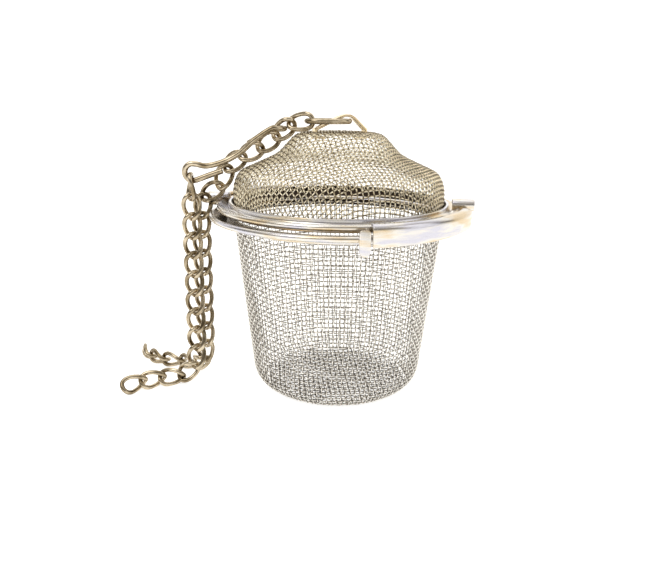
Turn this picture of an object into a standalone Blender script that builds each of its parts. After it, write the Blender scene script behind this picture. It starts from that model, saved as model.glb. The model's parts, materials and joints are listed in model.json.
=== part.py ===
"""Twist-lock mesh tea infuser: tapered basket, domed lid, loop, curb chain and S-hook.

Metres, +Z up. The origin is the centre of the basket's flat base, and the front is -Y.
Angles round the rim run from the front towards the right (+X).
"""

import math

import bmesh
import bpy
from mathutils import Matrix, Vector

MM = 0.001

# Basket
BASE_RADIUS = 14.35 * MM
BASE_CORNER = 4.0 * MM
MOUTH_RADIUS = 17.3 * MM
RIM_HEIGHT = 28.9 * MM
MESH_WALL = 0.45 * MM

# Sheet metal rims
SHEET = 0.5 * MM
MESH_CLEARANCE = 0.2 * MM
COLLAR_HEIGHT = 0.9 * MM
FLANGE_INSET = 0.25 * MM
BEAD = 0.45 * MM
BEAD_CURL = 130.0
RIM_GAP = 0.45 * MM
LID_FLANGE = 2.6 * MM

# Twist lock: each rail takes an ear of the lid, and repeats on the far side
RAIL_START = 12.5
RAIL_END = 73.0
LIP_START = 13.2
LIP_END = 72.5
LIP_WIDTH = 1.55 * MM
RAIL_DROP = 0.6 * MM
RAIL_RISE = 0.45 * MM
RAIL_CLEARANCE = 0.4 * MM
LIP_CLEARANCE = 0.35 * MM
TONGUE_START = 7.6
TONGUE_END = 12.0
TONGUE_DROP = 2.1 * MM
EAR_WIDTH = 1.1 * MM
EAR_START = 14.5
EAR_END = 89.0
TAB_ANGLE = 84.0
TAB_RADIUS = 0.8 * MM
TAB_CURL = 170.0
TAB_SHEET = 0.4 * MM
TAB_REACH = 1.1 * MM
WEB = 0.45 * MM
OVERLAP = 0.125 * MM

# Lid dome: drum, shoulder, waist, brow and crown, as heights over the rim
DRUM_STEP = 2.3 * MM
DOME_SHOULDER_HEIGHT = 6.1 * MM
DOME_WAIST_RADIUS = 10.2 * MM
DOME_WAIST_HEIGHT = 8.5 * MM
DOME_BROW_RADIUS = 7.2 * MM
DOME_BROW_DROP = 0.5 * MM
DOME_CROWN_RADIUS = 5.6 * MM
DOME_HEIGHT = 12.0 * MM
DRUM_CURVE = 3.9 * MM
SHOULDER_TURN = 80.0

# Loop on the lid, bent from strip
LOOP_HEIGHT = 2.7 * MM
LOOP_SPAN = 8.4 * MM
LOOP_WIDTH = 2.0 * MM
LOOP_SHEET = 0.4 * MM
LOOP_TOP = 1.4 * MM
LOOP_LEAN = 1.1 * MM
LOOP_FOOT = 1.5 * MM
LOOP_TURN = 18.0
SLOT_CLEARANCE = 0.3 * MM

# Oval ring through the loop
RING_LENGTH = 7.8 * MM
RING_WIDTH = 5.0 * MM
RING_WIRE = 0.9 * MM
RING_CLEARANCE = 0.25 * MM
RING_SHIFT = 0.36 * MM

# Curb chain
LINK_LENGTH = 4.8 * MM
LINK_WIDTH = 3.3 * MM
LINK_WIRE = 0.75 * MM
LINK_CLEARANCE = 0.1 * MM
LINK_TWIST = 45.0
CHAIN_CLEARANCE = 0.2 * MM
DOME_CLEARANCE = 0.6 * MM
TAB_CLEARANCE = 0.72 * MM
LID_STRAND_LINKS = 21
HOOK_STRAND_LINKS = 14
LINK_STEPS = 16
RING_STEPS = 20
OVAL_POWER = 0.8

# Where the chain leaves the lid: out from the rims and up from the lid, as shares of its own lift
RIM_BEND = ((1.5, 2.2), (1.0, 1.5), (0.85, 0.75))

# Where each strand lies on the table: out to the left, back and up, in link lengths
LID_STRAND_FLOOR = ((0.15, 0.2, 0.25), (0.5, 0.55, 0.0), (1.05, 0.8, 0.0), (1.65, 0.9, 0.0), (2.2, 1.15, 0.0),
                    (2.6, 1.6, 0.0))
HOOK_STRAND_FLOOR = ((0.15, 0.0, 0.25), (0.55, 0.0, 0.0), (1.1, -0.1, 0.0), (1.65, -0.35, 0.0), (2.1, -0.75, 0.0))

# S-hook
HOOK_WIRE = 0.95 * MM
HOOK_OVERHANG = 1.9 * MM
HOOK_BEND = 4.0 * MM
HOOK_STUB = 6.2 * MM
HOOK_STUB_DROP = 2.6 * MM
HOOK_CATCH = 0.42
HOOK_LEAN = 0.06
HOOK_SHANK = ((0.32, 0.12), (0.48, 0.26), (0.66, 0.36), (0.85, 0.41), (1.0, 0.48))
EYE_WIDTH = 2.7 * MM
EYE_LENGTH = 5.4 * MM
EYE_START = 70.0
EYE_END = 270.0
EYE_CLOSE = ((0.45, -0.18), (0.85, 0.10))
EYE_REST = 250.0

# Facets
ROUND_STEPS = 48
ARC_STEP_DEG = 7.5

STEEL = {"colour": (0.78, 0.75, 0.69, 1.0), "roughness": 0.22}
MESH_STEEL = {"colour": (0.74, 0.71, 0.67, 1.0), "roughness": 0.38}
CHAIN_STEEL = {"colour": (0.62, 0.57, 0.47, 1.0), "roughness": 0.28}

# Radii, heights and steps that follow from the sizes above
FLANGE_TOP = RIM_HEIGHT + 2 * BEAD
LID_BOTTOM = FLANGE_TOP + RIM_GAP
LID_RADIUS = MOUTH_RADIUS + LID_FLANGE
EAR_RADIUS = LID_RADIUS + EAR_WIDTH
RAIL_INNER = EAR_RADIUS + RAIL_CLEARANCE
RAIL_OUTER = RAIL_INNER + SHEET
FLANGE_RADIUS = RAIL_INNER - FLANGE_INSET
RAIL_TOP = LID_BOTTOM + SHEET + LIP_CLEARANCE + SHEET
DOME_BASE = LID_BOTTOM + SHEET
CROWN_TOP = DOME_BASE + DOME_HEIGHT
LOOP_APEX = CROWN_TOP + LOOP_HEIGHT
LINK_PITCH = LINK_LENGTH - 2 * LINK_WIRE - LINK_CLEARANCE
LINK_THICKNESS = (LINK_WIDTH - LINK_WIRE) * math.sin(math.radians(LINK_TWIST)) + LINK_WIRE


def clear_scene():
    for old in list(bpy.data.objects):
        bpy.data.objects.remove(old, do_unlink=True)


def make_material(name, look):
    material = bpy.data.materials.new(name)
    material.use_nodes = True
    shader = material.node_tree.nodes["Principled BSDF"]
    shader.inputs["Base Color"].default_value = look["colour"]
    shader.inputs["Roughness"].default_value = look["roughness"]
    shader.inputs["Metallic"].default_value = 1.0
    return material


def polar(radius, degrees, height=0.0):
    turn = math.radians(degrees)
    return Vector((radius * math.sin(turn), -radius * math.cos(turn), height))


def arc(centre, radius, start, end, steps):
    """Points of an arc in a flat (radius, height) profile, angles in degrees from +radius."""
    points = []
    for i in range(steps + 1):
        turn = math.radians(start + (end - start) * i / steps)
        points.append((centre[0] + radius * math.cos(turn), centre[1] + radius * math.sin(turn)))
    return points


def add_object(name, data, material, parent=None):
    obj = bpy.data.objects.new(name, data)
    bpy.context.scene.collection.objects.link(obj)
    if material is not None:
        data.materials.append(material)
    if parent is not None:
        obj.parent = parent
    return obj


def finish_mesh(name, bm, material, parent=None):
    bmesh.ops.remove_doubles(bm, verts=bm.verts, dist=1e-7)
    bmesh.ops.recalc_face_normals(bm, faces=bm.faces)
    mesh = bpy.data.meshes.new(name)
    bm.to_mesh(mesh)
    bm.free()
    mesh.shade_smooth()
    mesh.set_sharp_from_angle(angle=math.radians(35))
    return add_object(name, mesh, material, parent)


def turned(name, profile, closed, material, parent=None):
    """A full revolve round Z of a (radius, height) profile."""
    bm = bmesh.new()
    verts = [bm.verts.new((r, 0.0, z)) for r, z in profile]
    count = len(verts) if closed else len(verts) - 1
    edges = [bm.edges.new((verts[i], verts[(i + 1) % len(verts)])) for i in range(count)]
    bmesh.ops.spin(bm, geom=verts + edges, cent=(0, 0, 0), axis=(0, 0, 1), angle=2 * math.pi,
                   steps=ROUND_STEPS, use_merge=True)
    bmesh.ops.dissolve_degenerate(bm, dist=1e-7, edges=bm.edges)
    return finish_mesh(name, bm, material, parent)


def turned_arc(name, profile, start, end, parent=None, foot_rise=0.0):
    """Part of a revolve, capped at both ends, used to build up a rim. Its lowest edge may rise along the way."""
    bm = bmesh.new()
    face = bm.faces.new([bm.verts.new(polar(r, start, z)) for r, z in profile])
    steps = max(2, round((end - start) / ARC_STEP_DEG))
    bmesh.ops.spin(bm, geom=[face] + list(face.verts) + list(face.edges), cent=(0, 0, 0),
                   axis=(0, 0, 1), angle=math.radians(end - start), steps=steps)
    foot = min(z for _, z in profile)
    for vert in bm.verts:
        if abs(vert.co.z - foot) < 1e-7:
            turn = (math.degrees(math.atan2(vert.co.x, -vert.co.y)) - start + 1.0) % 360.0 - 1.0
            vert.co.z += foot_rise * turn / (end - start)
    return finish_mesh(name, bm, None, parent)


def prism(name, outline, frame, low, high, parent=None):
    """A flat outline in the frame's first and third axes, extruded along its second."""
    bm = bmesh.new()
    face = bm.faces.new([bm.verts.new((x, low, z)) for x, z in outline])
    grown = bmesh.ops.extrude_face_region(bm, geom=[face])
    moved = [item for item in grown["geom"] if isinstance(item, bmesh.types.BMVert)]
    bmesh.ops.translate(bm, verts=moved, vec=(0, high - low, 0))
    bm.transform(frame)
    return finish_mesh(name, bm, None, parent)


def strip(centreline, thickness):
    """Outline of a bent strip of even thickness along an open centreline of (x, z) points."""
    points = [Vector((x, z)) for x, z in centreline]
    left = []
    right = []
    for i, point in enumerate(points):
        before = (point - points[i - 1]).normalized() if i > 0 else None
        after = (points[i + 1] - point).normalized() if i + 1 < len(points) else None
        before = before or after
        after = after or before
        normal = Vector((-(before + after).y, (before + after).x)).normalized()
        reach = thickness / 2 / normal.dot(Vector((-after.y, after.x)))
        left.append(point + normal * reach)
        right.append(point - normal * reach)
    return [tuple(p) for p in left] + [tuple(p) for p in reversed(right)]


def combine(obj, other, operation):
    other.hide_render = True
    other.display_type = "WIRE"
    cut = obj.modifiers.new(other.name, "BOOLEAN")
    cut.operation = operation
    cut.object = other


def wire(name, points, thickness, closed, material, parent=None):
    """A round wire along a list of points."""
    curve = bpy.data.curves.new(name, "CURVE")
    curve.dimensions = "3D"
    curve.bevel_depth = thickness / 2
    curve.bevel_resolution = 1
    curve.use_fill_caps = True
    spline = curve.splines.new("POLY")
    spline.points.add(len(points) - 1)
    for place, point in zip(spline.points, points):
        place.co = (*point, 1.0)
    spline.use_cyclic_u = closed
    spline.use_smooth = True
    return add_object(name, curve, material, parent)


def smooth_path(points, per_span):
    """A smooth curve through hand-chosen points (Catmull-Rom)."""
    ends = [2 * points[0] - points[1]] + list(points) + [2 * points[-1] - points[-2]]
    path = []
    for i in range(1, len(ends) - 2):
        a, b, c, d = ends[i - 1:i + 3]
        for k in range(per_span):
            t = k / per_span
            path.append(0.5 * (2 * b + (c - a) * t + (2 * a - 5 * b + 4 * c - d) * t ** 2
                               + (3 * b - a - 3 * c + d) * t ** 3))
    path.append(points[-1])
    return path


def even_steps(path, step, count):
    """Points along a path, each a straight step from the one before."""
    found = [path[0]]
    i = 1
    while len(found) <= count:
        if i >= len(path):
            found.append(found[-1] + (path[-1] - path[-2]).normalized() * step)
            continue
        if (path[i] - found[-1]).length < step:
            i += 1
            continue
        low, high = path[i - 1], path[i]
        near, far = 0.0, 1.0
        for _ in range(30):
            mid = (near + far) / 2
            if (low.lerp(high, mid) - found[-1]).length < step:
                near = mid
            else:
                far = mid
        found.append(low.lerp(high, far))
    return found


def build_basket(parent, steel, mesh_steel):
    rise = RIM_HEIGHT + SHEET - BASE_CORNER
    taper = math.degrees(math.atan2(MOUTH_RADIUS - BASE_RADIUS, rise))
    centre = (BASE_RADIUS - BASE_CORNER, BASE_CORNER)
    outer = [(0.0, 0.0)] + arc(centre, BASE_CORNER, -90.0, -taper, 5)
    outer.append((MOUTH_RADIUS, RIM_HEIGHT + SHEET))
    inner = [(MOUTH_RADIUS - MESH_WALL, RIM_HEIGHT + SHEET)]
    inner += arc(centre, BASE_CORNER - MESH_WALL, -taper, -90.0, 5) + [(0.0, MESH_WALL)]
    turned("basket_mesh", outer + inner, False, mesh_steel, parent)

    bore = MOUTH_RADIUS + MESH_CLEARANCE
    bead = (FLANGE_RADIUS - BEAD, RIM_HEIGHT + BEAD)
    profile = [(bore, RIM_HEIGHT - COLLAR_HEIGHT), (bore + SHEET, RIM_HEIGHT - COLLAR_HEIGHT),
               (bore + SHEET, RIM_HEIGHT)]
    profile += arc(bead, BEAD, -90.0, BEAD_CURL, 6)
    profile += [(bead[0] - 2 * BEAD, RIM_HEIGHT + SHEET), (bore, RIM_HEIGHT + SHEET)]
    rim = turned("basket_rim", profile, True, steel, parent)

    seat, middle = bead
    web_low = middle - WEB / 2
    web_high = middle + WEB / 2
    wall = [(RAIL_INNER, RIM_HEIGHT - RAIL_DROP), (RAIL_OUTER, RIM_HEIGHT - RAIL_DROP),
            (RAIL_OUTER, RAIL_TOP - OVERLAP), (RAIL_INNER, RAIL_TOP - OVERLAP),
            (RAIL_INNER, web_high), (seat, web_high), (seat, web_low), (RAIL_INNER, web_low)]
    lip = [(RAIL_OUTER - OVERLAP, RAIL_TOP), (RAIL_OUTER - OVERLAP, RAIL_TOP - SHEET),
           (RAIL_OUTER - LIP_WIDTH, RAIL_TOP - SHEET), (RAIL_OUTER - LIP_WIDTH, RAIL_TOP)]
    tip = (RAIL_INNER, RIM_HEIGHT - TONGUE_DROP + SHEET)
    tongue = [(seat, web_low)] + arc(tip, SHEET / 2, 180.0, 360.0, 4)
    tongue += [(RAIL_INNER + SHEET / 2, LID_BOTTOM + SHEET), (RAIL_INNER - SHEET / 2, LID_BOTTOM + SHEET),
               (RAIL_INNER - SHEET / 2, web_high), (seat, web_high)]
    for side, turn in (("front", 0.0), ("back", 180.0)):
        shapes = (("tongue", tongue, TONGUE_START, TONGUE_END, 0.0),
                  ("rail", wall, RAIL_START, RAIL_END, RAIL_RISE), ("lip", lip, LIP_START, LIP_END, 0.0))
        for label, section, start, end, rise in shapes:
            piece = turned_arc(f"{side}_{label}", section, start + turn, end + turn, parent, rise)
            combine(rim, piece, "UNION")


def dome_profile():
    """The dome's outer line from the rim up: drum, shoulder, waist, brow and crown."""
    shoulder = Vector((MOUTH_RADIUS - DRUM_STEP, DOME_BASE + DOME_SHOULDER_HEIGHT))
    waist = Vector((DOME_WAIST_RADIUS, DOME_BASE + DOME_WAIST_HEIGHT))
    brow = Vector((DOME_BROW_RADIUS, CROWN_TOP - DOME_BROW_DROP))
    points = [Vector((MOUTH_RADIUS, LID_BOTTOM + SHEET / 2))]
    for r, z in arc((0.0, 0.0), 1.0, 0.0, SHOULDER_TURN, 5):
        points.append(Vector((shoulder.x + r * DRUM_STEP, shoulder.y + (z - 1.0) * DRUM_CURVE)))
    points += [shoulder.lerp(waist, 0.45), waist, waist.lerp(brow, 0.5), brow]
    points.append(Vector((DOME_CROWN_RADIUS, CROWN_TOP)))
    return points


def build_lid(parent, steel, mesh_steel):
    outer = dome_profile()
    inner = []
    for i, point in enumerate(outer):
        along = outer[min(i + 1, len(outer) - 1)] - outer[max(i - 1, 0)]
        inner.append(point - Vector((along.y, -along.x)).normalized() * MESH_WALL)
    inner[0] = outer[0] - Vector((MESH_WALL, 0.0))
    inner[-1] = outer[-1] - Vector((0.0, MESH_WALL))
    profile = [(0.0, CROWN_TOP)] + [tuple(p) for p in reversed(outer)]
    profile += [tuple(p) for p in inner] + [(0.0, CROWN_TOP - MESH_WALL)]
    dome = turned("lid_mesh", profile, False, mesh_steel, parent)

    bore = MOUTH_RADIUS + MESH_CLEARANCE
    bead = (LID_RADIUS - BEAD, LID_BOTTOM + BEAD)
    profile = [(bore, LID_BOTTOM)] + arc(bead, BEAD, -90.0, BEAD_CURL, 6)
    profile += [(bead[0] - 2 * BEAD, LID_BOTTOM + SHEET), (bore + SHEET, LID_BOTTOM + SHEET),
                (bore + SHEET, LID_BOTTOM + SHEET + COLLAR_HEIGHT), (bore, LID_BOTTOM + SHEET + COLLAR_HEIGHT)]
    rim = turned("lid_rim", profile, True, steel, parent)
    ear_low = LID_BOTTOM + SHEET / 5
    ear = [(bead[0], ear_low), (EAR_RADIUS, ear_low), (EAR_RADIUS, ear_low + SHEET), (bead[0], ear_low + SHEET)]
    curl = strip(arc((0.0, ear_low + SHEET / 2 + TAB_RADIUS), TAB_RADIUS, -90.0, TAB_CURL, 9), TAB_SHEET)
    for side, turn in (("front", 0.0), ("back", 180.0)):
        combine(rim, turned_arc(f"{side}_ear", ear, EAR_START + turn, EAR_END + turn, parent), "UNION")
        frame = Matrix.Rotation(math.radians(TAB_ANGLE + turn), 4, "Z")
        tab = prism(f"{side}_tab", curl, frame, -(EAR_RADIUS + TAB_REACH), -(bore + 2 * SHEET), parent)
        combine(rim, tab, "UNION")

    half = LOOP_SPAN / 2
    under = CROWN_TOP - MESH_WALL - SLOT_CLEARANCE - LOOP_SHEET / 2
    top = LOOP_APEX - LOOP_SHEET / 2
    bend = CROWN_TOP + SLOT_CLEARANCE
    side = [(half - LOOP_FOOT, under), (half, under), (half, bend)]
    line = [(-x, z) for x, z in side] + [(LOOP_LEAN - LOOP_TOP / 2, top), (LOOP_LEAN + LOOP_TOP / 2, top)]
    line += [(x, z) for x, z in reversed(side)]
    frame = Matrix.Rotation(math.radians(LOOP_TURN), 4, "Z")
    loop = prism("lid_loop", strip(line, LOOP_SHEET), frame, -LOOP_WIDTH / 2, LOOP_WIDTH / 2, parent)
    loop.data.materials.append(steel)
    slot_half = LOOP_SHEET / 2 + SLOT_CLEARANCE
    for label, x in (("left", -half), ("right", half)):
        hole = [(x - slot_half, under), (x + slot_half, under), (x + slot_half, bend), (x - slot_half, bend)]
        reach = LOOP_WIDTH / 2 + SLOT_CLEARANCE
        combine(dome, prism(f"{label}_slot", hole, frame, -reach, reach, parent), "DIFFERENCE")


def oval(length, width, thickness, steps, twist):
    """Points of a link's wire from its near end, which lies at the origin, along +X.

    twist gives the turn of the wire about the link's length at its near and far end.
    """
    half_length = (length - thickness) / 2
    half_width = (width - thickness) / 2
    points = []
    for i in range(steps):
        turn = 2 * math.pi * i / steps
        along = -math.copysign(abs(math.cos(turn)) ** OVAL_POWER, math.cos(turn))
        across = math.copysign(abs(math.sin(turn)) ** OVAL_POWER, math.sin(turn))
        roll = math.radians(twist[0] + (twist[1] - twist[0]) * (along + 1) / 2)
        points.append(Vector((half_length * (along + 1), half_width * across * math.cos(roll),
                              half_width * across * math.sin(roll))))
    return points


def lid_strand_route(ring_end):
    """The chain's way from the ring over the dome and the rim, and down to the table."""
    lift = LINK_THICKNESS / 2 + CHAIN_CLEARANCE
    over = LINK_THICKNESS / 2 + DOME_CLEARANCE
    plane = polar(EAR_RADIUS, TAB_ANGLE + 180.0).y - TAB_RADIUS - LINK_WIDTH / 2 - TAB_CLEARANCE
    dome = dome_profile()
    route = [ring_end]
    for i in range(len(dome) - 2, 3, -1):
        along = dome[i + 1] - dome[i - 1]
        spot = dome[i] + Vector((along.y, -along.x)).normalized() * over
        route.append(Vector((-spot.x, plane, spot.y)))
    hang = FLANGE_RADIUS + lift
    floor = LINK_THICKNESS / 2 + CHAIN_CLEARANCE
    for radius, (out, up) in zip((MOUTH_RADIUS, LID_RADIUS, FLANGE_RADIUS), RIM_BEND):
        route.append(Vector((-(radius + out * lift), plane, LID_BOTTOM + up * lift)))
    route.append(Vector((-hang, plane, FLANGE_TOP - lift)))
    route += [Vector((-hang, plane, floor + LINK_LENGTH * k)) for k in (4, 3, 2, 1)]
    landing = Vector((-hang, plane, floor))
    route += [landing + Vector((-x, y, z)) * LINK_LENGTH for x, y, z in LID_STRAND_FLOOR]
    return route


def hook_points(catch):
    """The S-hook's wire: stub, open bend through a link, shank and closed eye."""
    half_bend = HOOK_BEND / 2
    reach = FLANGE_RADIUS + HOOK_OVERHANG + catch.x
    points = [catch + Vector((-HOOK_STUB, half_bend, -HOOK_STUB_DROP)),
              catch + Vector((-HOOK_STUB / 2, half_bend, -HOOK_STUB_DROP / 4))]
    for x, y in arc((-half_bend, 0.0), half_bend, 90.0, -90.0, 6):
        points.append(catch + Vector((x, y, 0.0)))
    shank = [catch + Vector((-share * reach, -half_bend - HOOK_LEAN * share * reach, -drop * reach))
             for share, drop in HOOK_SHANK]
    eye = shank.pop()
    points += shank
    for x, z in arc((0.0, 0.0), EYE_WIDTH / 2, EYE_START, EYE_END, 5):
        points.append(eye + Vector((x, 0.0, z)))
    points += [eye + Vector((along * EYE_LENGTH, 0.0, up * EYE_WIDTH)) for along, up in EYE_CLOSE]
    return points, eye


def hook_strand_route(eye):
    """The chain's way from the hook's eye down to the table."""
    floor = LINK_THICKNESS / 2 + CHAIN_CLEARANCE
    rest = math.radians(EYE_REST)
    low = Vector((math.cos(rest), 0.0, math.sin(rest))) * (EYE_WIDTH / 2)
    start = eye + low + Vector((0.0, 0.0, (HOOK_WIRE + LINK_CLEARANCE) / 2))
    route = [start]
    route += [Vector((start.x, start.y, floor + LINK_LENGTH * k)) for k in (5.5, 4, 3, 2, 1)]
    landing = Vector((start.x, start.y, floor))
    route += [landing + Vector((-x, y, z)) * LINK_LENGTH for x, y, z in HOOK_STRAND_FLOOR]
    return route


def lay_links(label, joints, first_twist, normal, parent, material):
    """One link from each point to the next, each with its origin on the joint it turns about."""
    curb = (-LINK_TWIST, LINK_TWIST)
    half_contact = (LINK_WIRE + LINK_CLEARANCE) / 2
    for i in range(len(joints) - 1):
        along = (joints[i + 1] - joints[i]).normalized()
        normal = (normal - along * normal.dot(along)).normalized()
        twist = (first_twist, LINK_TWIST) if i == 0 else curb
        points = oval(LINK_LENGTH, LINK_WIDTH, LINK_WIRE, LINK_STEPS, twist)
        points = [p - Vector((half_contact, 0.0, 0.0)) for p in points]
        link = wire(f"{label}_{i + 1:02d}", points, LINK_WIRE, True, material, parent)
        across = normal.cross(along)
        turn = Matrix((along, across, normal)).transposed().to_4x4()
        link.matrix_world = Matrix.Translation(joints[i]) @ turn


def build_chain(parent, chain_steel):
    under_loop = LOOP_APEX - LOOP_SHEET - RING_CLEARANCE - RING_WIRE / 2
    ring = wire("chain_ring", oval(RING_LENGTH, RING_WIDTH, RING_WIRE, RING_STEPS, (0.0, 0.0)),
                RING_WIRE, True, chain_steel, parent)
    turn = Matrix.Rotation(math.radians(180.0 + LOOP_TURN), 4, "Z")
    start = turn.to_3x3() @ Vector((-LOOP_LEAN - RING_SHIFT, 0.0, under_loop))
    ring.matrix_world = Matrix.Translation(start) @ turn
    ring_end = start + turn.to_3x3() @ Vector((RING_LENGTH - RING_WIRE, 0.0, 0.0))

    toward = Vector((0.0, 1.0, 0.0))
    route = smooth_path(lid_strand_route(ring_end), 8)
    lead = (route[4] - route[0]).normalized() * ((RING_WIRE + LINK_CLEARANCE) / 2)
    joints = even_steps([route[0] - lead] + route[1:], LINK_PITCH, LID_STRAND_LINKS)
    lay_links("chain_link", joints, 0.0, toward, parent, chain_steel)

    caught = joints[1].lerp(joints[2], HOOK_CATCH)
    points, eye = hook_points(caught)
    hook = wire("s_hook", [p - caught for p in smooth_path(points, 2)], HOOK_WIRE, False, chain_steel, parent)
    hook.location = caught

    route = smooth_path(hook_strand_route(eye), 8)
    joints = even_steps(route, LINK_PITCH, HOOK_STRAND_LINKS)
    lay_links("hook_link", joints, 90.0, toward, parent, chain_steel)


def main():
    clear_scene()
    steel = make_material("polished_steel", STEEL)
    mesh_steel = make_material("woven_steel", MESH_STEEL)
    chain_steel = make_material("chain_steel", CHAIN_STEEL)
    infuser = bpy.data.objects.new("infuser", None)
    bpy.context.scene.collection.objects.link(infuser)
    build_basket(infuser, steel, mesh_steel)
    build_lid(infuser, steel, mesh_steel)
    build_chain(infuser, chain_steel)
    bpy.context.view_layer.update()


main()
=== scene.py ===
"""Looks for a twist-lock mesh tea infuser: woven wire, pressed rims, curb chain, S-hook and a white sweep.

Metres, +Z up, in the frame of the solids. Angles round the rim run from the front (-Y) towards +X.
"""

import bisect
import json
import math

import bmesh
import bpy
from mathutils import Matrix, Vector

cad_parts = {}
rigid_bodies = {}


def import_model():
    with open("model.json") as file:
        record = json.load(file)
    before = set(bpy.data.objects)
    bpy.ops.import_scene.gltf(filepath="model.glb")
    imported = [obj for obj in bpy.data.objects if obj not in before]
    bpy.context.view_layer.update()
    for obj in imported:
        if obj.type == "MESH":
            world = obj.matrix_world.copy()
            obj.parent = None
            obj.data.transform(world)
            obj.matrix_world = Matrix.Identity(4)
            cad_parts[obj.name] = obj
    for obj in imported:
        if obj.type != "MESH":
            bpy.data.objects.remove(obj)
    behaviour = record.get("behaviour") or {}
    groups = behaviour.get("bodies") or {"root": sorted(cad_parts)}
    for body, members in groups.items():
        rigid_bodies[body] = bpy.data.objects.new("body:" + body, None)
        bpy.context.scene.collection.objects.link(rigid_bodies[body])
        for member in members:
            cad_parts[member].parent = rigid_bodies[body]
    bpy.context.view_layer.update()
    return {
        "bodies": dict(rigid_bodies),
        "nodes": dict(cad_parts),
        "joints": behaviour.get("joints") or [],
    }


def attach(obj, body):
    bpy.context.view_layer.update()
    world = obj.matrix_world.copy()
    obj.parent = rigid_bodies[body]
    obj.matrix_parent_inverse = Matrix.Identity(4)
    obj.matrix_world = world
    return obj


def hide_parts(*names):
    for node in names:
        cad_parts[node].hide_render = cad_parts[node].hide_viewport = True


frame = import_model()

bl_info = {
    "name": "Mesh Tea Infuser",
    "version": (1, 0, 0),
    "blender": (4, 5, 0),
    "location": "View3D > Sidebar > Infuser",
    "description": "Builds the woven wire, rims, chain and studio of a twist-lock tea infuser",
    "category": "Add Mesh",
}

MM = 0.001
JOINTS = {joint["name"]: joint for joint in frame["joints"]}
SIDES = (0.0, 180.0)
LINK_STEPS = 32
LINK_SIDES = 10
WEAVE_SIDES = 4
OVAL_POWER = 0.8
HOOK_SHANK = ((0.32, 0.12), (0.48, 0.26), (0.66, 0.36), (0.85, 0.41), (1.0, 0.48))


def length(label, about, default):
    return bpy.props.FloatProperty(name=label, description=about, default=default, unit="LENGTH", precision=5)


def angle(label, about, degrees):
    return bpy.props.FloatProperty(name=label, description=about, default=math.radians(degrees),
                                   subtype="ANGLE")


def colour(label, about, default):
    return bpy.props.FloatVectorProperty(name=label, description=about, default=default, size=4,
                                         subtype="COLOR", min=0.0, max=1.0)


def share(label, about, default):
    return bpy.props.FloatProperty(name=label, description=about, default=default, subtype="FACTOR",
                                   min=0.0, max=1.0)


class InfuserBasket(bpy.types.PropertyGroup):
    """Sizes of the basket and its rim."""
    base_radius: length("Base radius", "Outside of the wall, run down to the table", 14.35 * MM)
    base_corner: length("Base corner", "Radius where the bottom turns up into the wall", 4.0 * MM)
    mouth_radius: length("Mouth radius", "Outside of the wall at the rim", 17.3 * MM)
    rim_height: length("Rim height", "Underside of the rim over the table", 28.9 * MM)
    sheet: length("Sheet", "Thickness of the rim's sheet", 0.5 * MM)
    collar: length("Collar", "Height of the turned-down collar that grips the weave", 0.9 * MM)
    grip: length("Grip", "Room between the outside of the wall and the collar", 0.2 * MM)
    flange_radius: length("Flange radius", "Outside of the rolled bead", 21.15 * MM)
    bead: length("Bead", "Radius of the rolled bead", 0.45 * MM)


class InfuserLid(bpy.types.PropertyGroup):
    """Sizes of the lid, its dome, finger tabs and loop."""
    gap: length("Gap", "Gap between the two rims", 0.45 * MM)
    rim_radius: length("Rim radius", "Outside of the lid's bead", 19.9 * MM)
    skirt: length("Skirt", "Reach of the lid's collar down into the gap", 0.6 * MM)
    ear: length("Ear", "Reach of the lock ears past the bead", 1.1 * MM)
    ear_start: angle("Ear start", "First edge of a lock ear", 14.5)
    ear_end: angle("Ear end", "Last edge of a lock ear", 89.0)
    shoulder_radius: length("Shoulder radius", "Where the drum turns in", 15.0 * MM)
    shoulder_rise: length("Shoulder rise", "Height of the shoulder over the rim", 6.1 * MM)
    drum_curve: length("Drum curve", "Height of the curve that ends the drum", 3.9 * MM)
    waist_radius: length("Waist radius", "Foot of the crown", 10.2 * MM)
    waist_rise: length("Waist rise", "Height of the waist over the rim", 8.5 * MM)
    brow_radius: length("Brow radius", "Where the crown's slope turns over", 7.2 * MM)
    brow_drop: length("Brow drop", "Depth of the brow below the crown", 0.5 * MM)
    crown_radius: length("Crown radius", "Flat top of the crown", 5.6 * MM)
    dome_rise: length("Dome rise", "Height of the crown over the rim", 12.0 * MM)
    tab_radius: length("Tab radius", "Radius of the curled finger tabs", 0.8 * MM)
    tab_sheet: length("Tab sheet", "Thickness of the finger tabs", 0.4 * MM)
    tab_reach: length("Tab reach", "How far the tabs stand out past the ears", 1.1 * MM)
    tab_angle: angle("Tab angle", "Where the front tab stands on the rim", 84.0)
    loop_rise: length("Loop rise", "Height of the loop over the crown", 2.7 * MM)
    loop_span: length("Loop span", "Distance between the loop's legs", 8.4 * MM)
    loop_width: length("Loop width", "Width of the loop's strip", 2.0 * MM)
    loop_sheet: length("Loop sheet", "Thickness of the loop's strip", 0.4 * MM)
    loop_top: length("Loop top", "Flat top of the loop", 1.4 * MM)
    loop_lean: length("Loop lean", "How far the loop's top leans towards its right leg", 1.1 * MM)
    loop_foot: length("Loop foot", "Length of the loop's feet, folded under the crown", 1.5 * MM)
    loop_depth: length("Loop depth", "Depth of the folded feet below the crown", 0.75 * MM)
    loop_knee: length("Loop knee", "Height of the loop's knees over the crown", 0.3 * MM)
    loop_crease: length("Loop crease", "Straight run inside each bend at the top", 0.25 * MM)
    loop_turn: angle("Loop turn", "Turn of the loop and ring about the upright axis", 18.0)


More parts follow.
